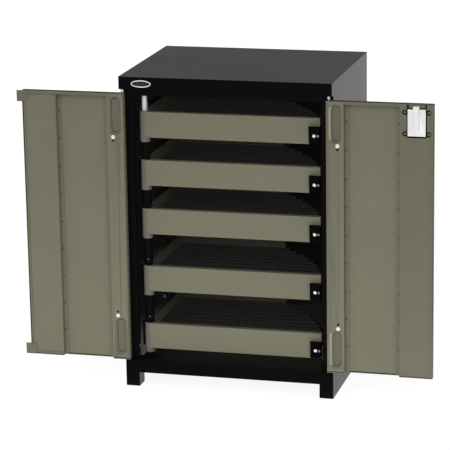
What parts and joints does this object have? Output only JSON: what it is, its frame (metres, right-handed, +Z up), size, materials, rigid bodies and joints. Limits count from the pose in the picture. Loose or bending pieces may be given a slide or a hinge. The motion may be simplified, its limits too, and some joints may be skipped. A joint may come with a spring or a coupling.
{
  "type": "tool side cabinet",
  "caption": "Steel tool side cabinet with two doors and trays that swing out on one upright pole.",
  "frame": {"origin": "on the floor, in the middle of the cabinet's body", "axes": "+Z up, the doors and tray fronts face -Y, +X to the viewer's right"},
  "size_m": [1.4885, 0.6246, 1.137],
  "materials": {
    "front_paint": "satin",
    "body_paint": "satin",
    "divider_paint": "satin",
    "bright_steel": "satin",
    "zinc_plate": "satin",
    "lock_zinc": "satin",
    "black_plastic": "matte",
    "chrome": "gloss"
  },
  "bodies": {
    "cabinet": {"left_side_panel": "body_paint", "right_side_panel": "body_paint", "back_panel": "body_paint", "top_cap": "body_paint", "left_post": "body_paint", "right_post": "body_paint", "top_rail": "body_paint", "base_channel": "body_paint", "corner_feet": "body_paint", "levelling_feet": "zinc_plate", "hinge_pole": "bright_steel", "pole_brackets": "body_paint", "pole_spacers": "body_paint", "door_pins": "bright_steel"},
    "top_tray": {"top_tray_pan": "front_paint", "top_tray_front": "front_paint", "top_tray_barrel": "front_paint", "top_tray_ribs": "divider_paint", "top_latch_pivot": "bright_steel"},
    "upper_tray": {"upper_tray_pan": "front_paint", "upper_tray_front": "front_paint", "upper_tray_barrel": "front_paint", "upper_tray_ribs": "divider_paint", "upper_latch_pivot": "bright_steel"},
    "middle_tray": {"middle_tray_pan": "front_paint", "middle_tray_front": "front_paint", "middle_tray_barrel": "front_paint", "middle_tray_ribs": "divider_paint", "middle_latch_pivot": "bright_steel"},
    "lower_tray": {"lower_tray_pan": "front_paint", "lower_tray_front": "front_paint", "lower_tray_barrel": "front_paint", "lower_tray_ribs": "divider_paint", "lower_latch_pivot": "bright_steel"},
    "bottom_tray": {"bottom_tray_pan": "front_paint", "bottom_tray_front": "front_paint", "bottom_tray_barrel": "front_paint", "bottom_tray_ribs": "divider_paint", "bottom_latch_pivot": "bright_steel"},
    "top_latch": {"top_latch_lever": "zinc_plate", "top_latch_plate": "black_plastic"},
    "upper_latch": {"upper_latch_lever": "zinc_plate", "upper_latch_plate": "black_plastic"},
    "middle_latch": {"middle_latch_lever": "zinc_plate", "middle_latch_plate": "black_plastic"},
    "lower_latch": {"lower_latch_lever": "zinc_plate", "lower_latch_plate": "black_plastic"},
    "bottom_latch": {"bottom_latch_lever": "zinc_plate", "bottom_latch_plate": "black_plastic"},
    "left_door": {"left_door_skin": "front_paint", "left_door_hinge_channel": "front_paint", "left_door_free_channel": "front_paint"},
    "right_door": {"right_door_skin": "front_paint", "right_door_hinge_channel": "front_paint", "right_door_lock_channel": "front_paint", "lock_bracket": "front_paint", "lock_case": "lock_zinc"},
    "lock_bolt": {"lock_bolt": "lock_zinc"},
    "lock_cylinder": {"lock_cylinder": "chrome"}
  },
  "joints": [
    {"name": "top_tray_swing", "type": "hinge", "parent": "cabinet", "child": "top_tray", "pos_m": [-0.3055, -0.243, 0.914], "axis": [0, 0, -1], "range_deg": [0, 90]},
    {"name": "upper_tray_swing", "type": "hinge", "parent": "cabinet", "child": "upper_tray", "pos_m": [-0.3055, -0.243, 0.74], "axis": [0, 0, -1], "range_deg": [0, 90]},
    {"name": "middle_tray_swing", "type": "hinge", "parent": "cabinet", "child": "middle_tray", "pos_m": [-0.3055, -0.243, 0.5625], "axis": [0, 0, -1], "range_deg": [0, 90]},
    {"name": "lower_tray_swing", "type": "hinge", "parent": "cabinet", "child": "lower_tray", "pos_m": [-0.3055, -0.243, 0.352], "axis": [0, 0, -1], "range_deg": [0, 90]},
    {"name": "bottom_tray_swing", "type": "hinge", "parent": "cabinet", "child": "bottom_tray", "pos_m": [-0.3055, -0.243, 0.1385], "axis": [0, 0, -1], "range_deg": [0, 90]},
    {"name": "top_latch_lift", "type": "hinge", "parent": "top_tray", "child": "top_latch", "pos_m": [0.31542, -0.126, 0.932], "axis": [-0.995, -0.0998, 0], "range_deg": [0, 5.8]},
    {"name": "upper_latch_lift", "type": "hinge", "parent": "upper_tray", "child": "upper_latch", "pos_m": [0.31542, -0.126, 0.758], "axis": [-0.995, -0.0998, 0], "range_deg": [0, 5.8]},
    {"name": "middle_latch_lift", "type": "hinge", "parent": "middle_tray", "child": "middle_latch", "pos_m": [0.31542, -0.126, 0.5805], "axis": [-0.995, -0.0998, 0], "range_deg": [0, 5.8]},
    {"name": "lower_latch_lift", "type": "hinge", "parent": "lower_tray", "child": "lower_latch", "pos_m": [0.31542, -0.126, 0.37], "axis": [-0.995, -0.0998, 0], "range_deg": [0, 5.8]},
    {"name": "bottom_latch_lift", "type": "hinge", "parent": "bottom_tray", "child": "bottom_latch", "pos_m": [0.31542, -0.126, 0.1565], "axis": [-0.995, -0.0998, 0], "range_deg": [0, 5.8]},
    {"name": "left_door_swing", "type": "hinge", "parent": "cabinet", "child": "left_door", "pos_m": [-0.369, -0.3, 0.592], "axis": [0, 0, -1], "range_deg": [-180, 0]},
    {"name": "right_door_swing", "type": "hinge", "parent": "cabinet", "child": "right_door", "pos_m": [0.369, -0.3, 0.592], "axis": [0, 0, 1], "range_deg": [-180, 0]},
    {"name": "lock_bolt_slide", "type": "slide", "parent": "right_door", "child": "lock_bolt", "axis": [0, 0, 1], "range_m": [0, 0.028]},
    {"name": "lock_cylinder_turn", "type": "hinge", "parent": "right_door", "child": "lock_cylinder", "pos_m": [0.6742, -0.296, 1.011], "axis": [0, 1, 0], "range_deg": [0, 90]}
  ],
  "couplings": [
    {"joint": "lock_cylinder_turn", "follows": "lock_bolt_slide", "rad_per_m": 56}
  ]
}
